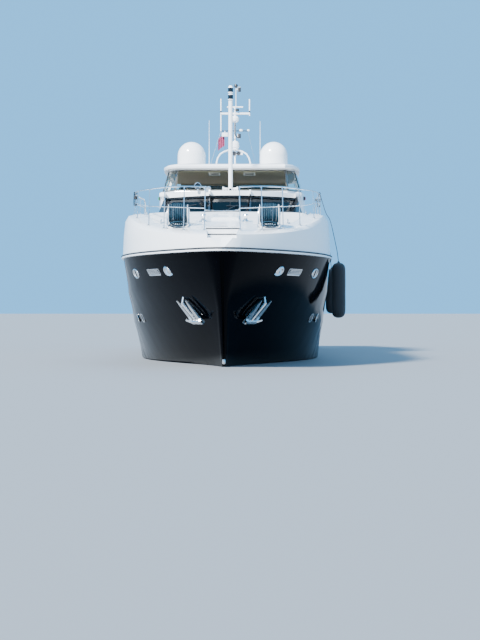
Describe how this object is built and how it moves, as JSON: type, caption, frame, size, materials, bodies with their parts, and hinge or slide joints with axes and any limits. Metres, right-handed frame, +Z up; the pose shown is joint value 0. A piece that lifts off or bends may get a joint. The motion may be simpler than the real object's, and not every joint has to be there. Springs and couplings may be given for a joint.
{
  "type": "motor yacht",
  "caption": "Long motor yacht with a dark hull, white raised foredeck, raked wheelhouse, enclosed upper bridge under a hardtop, domes, masts, rope reels and stern doors.",
  "frame": {"origin": "on the centreline amidships, at the waterline at which the yacht floats", "axes": "+Y aft along the hull, the bow pointing along -Y; +X to port; +Z up"},
  "size_m": [7.58, 31, 13.2773],
  "materials": {
    "hull_paint": "high-gloss black hull paint",
    "gelcoat": "white gelcoat",
    "teak": "bare teak planking with dark seams",
    "dark_glass": "dark tinted glass",
    "clear_glass": "lightly tinted glass",
    "steel": "polished stainless steel",
    "bronze": "bronze",
    "blue_rope": "blue mooring rope wound in layers",
    "black_rubber": "black fender covers",
    "upholstery": "pale outdoor upholstery",
    "joinery": "varnished dark wood"
  },
  "bodies": {
    "root": {"hull": "hull_paint", "foredeck_moulding": "gelcoat", "main_deck": "teak", "saloon_house": "gelcoat", "saloon_door_fixed": "steel", "upper_deck": "gelcoat", "wheelhouse": "gelcoat", "windscreen_starboard": "dark_glass", "windscreen_centre": "dark_glass", "windscreen_port": "dark_glass", "bridge_coaming": "gelcoat", "hardtop": "gelcoat", "bridge_screen": "clear_glass", "signal_pole": "gelcoat", "mast": "gelcoat", "upper_rail": "steel", "swim_platform": "teak", "helm_console": "joinery", "helm_seat": "upholstery", "bridge_console": "gelcoat", "bridge_seat": "upholstery", "saloon_sofa": "upholstery", "cockpit_sofa": "upholstery", "fender_forward": "black_rubber", "fender_aft": "black_rubber", "bulwark_port": "gelcoat", "bulwark_starboard": "gelcoat", "saloon_window_port": "dark_glass", "saloon_window_starboard": "dark_glass", "wheelhouse_window_port": "dark_glass", "wheelhouse_window_starboard": "dark_glass", "bridge_corner_window_port": "clear_glass", "bridge_corner_window_starboard": "clear_glass", "bridge_window_port": "clear_glass", "bridge_window_starboard": "clear_glass", "dome_port": "gelcoat", "dome_starboard": "gelcoat", "bow_rail_port": "steel", "bow_rail_starboard": "steel", "reel_frame_port": "steel", "reel_frame_starboard": "steel", "anchor_port": "steel", "anchor_starboard": "steel", "hawse_port": "steel", "hawse_starboard": "steel", "rub_rail_port": "steel", "rub_rail_starboard": "steel", "shaft_bracket_port": "bronze", "shaft_bracket_starboard": "bronze"},
    "side_door_port": {"side_door_port": "gelcoat"},
    "side_door_starboard": {"side_door_starboard": "gelcoat"},
    "saloon_door": {"saloon_door": "steel"},
    "rope_drum_port": {"rope_drum_port": "blue_rope"},
    "rope_drum_starboard": {"rope_drum_starboard": "blue_rope"},
    "foredeck_hatch": {"foredeck_hatch": "gelcoat"},
    "transom_door": {"transom_door": "hull_paint"},
    "propeller_port": {"propeller_port": "bronze"},
    "propeller_starboard": {"propeller_starboard": "bronze"},
    "rudder_port": {"rudder_port": "bronze"},
    "rudder_starboard": {"rudder_starboard": "bronze"}
  },
  "joints": [
    {"name": "side_door_port_slide", "type": "slide", "parent": "root", "child": "side_door_port", "axis": [0, 1, 0], "range_m": [0, 0.8]},
    {"name": "side_door_starboard_slide", "type": "slide", "parent": "root", "child": "side_door_starboard", "axis": [0, 1, 0], "range_m": [0, 0.8]},
    {"name": "saloon_door_slide", "type": "slide", "parent": "root", "child": "saloon_door", "axis": [-1, 0, 0], "range_m": [0, 1.4]},
    {"name": "rope_drum_port_turn", "type": "hinge", "parent": "root", "child": "rope_drum_port", "pos_m": [1.39, -12.75, 4.70009], "axis": [1, 0, 0], "continuous": true},
    {"name": "rope_drum_starboard_turn", "type": "hinge", "parent": "root", "child": "rope_drum_starboard", "pos_m": [-1.39, -12.75, 4.70009], "axis": [1, 0, 0], "continuous": true},
    {"name": "foredeck_hatch_hinge", "type": "hinge", "parent": "root", "child": "foredeck_hatch", "pos_m": [0, -10, 4.8157], "axis": [-1, 0, 0], "range_deg": [0, 80]},
    {"name": "transom_door_hinge", "type": "hinge", "parent": "root", "child": "transom_door", "pos_m": [0, 13.527, 2.3497], "axis": [1, 0, 0], "range_deg": [0, 90]},
    {"name": "propeller_port_turn", "type": "hinge", "parent": "root", "child": "propeller_port", "pos_m": [1.25, 11.52, -1.42489], "axis": [0, 0.9933, -0.1155], "continuous": true},
    {"name": "propeller_starboard_turn", "type": "hinge", "parent": "root", "child": "propeller_starboard", "pos_m": [-1.25, 11.52, -1.42489], "axis": [0, 0.9933, -0.1155], "continuous": true},
    {"name": "rudder_port_turn", "type": "hinge", "parent": "root", "child": "rudder_port", "pos_m": [1.25, 12.65, -1], "axis": [0, 0, 1], "range_deg": [-35, 35]},
    {"name": "rudder_starboard_turn", "type": "hinge", "parent": "root", "child": "rudder_starboard", "pos_m": [-1.25, 12.65, -1], "axis": [0, 0, 1], "range_deg": [-35, 35]}
  ],
  "couplings": [
    {"joint": "rudder_starboard_turn", "follows": "rudder_port_turn", "ratio": 1}
  ]
}
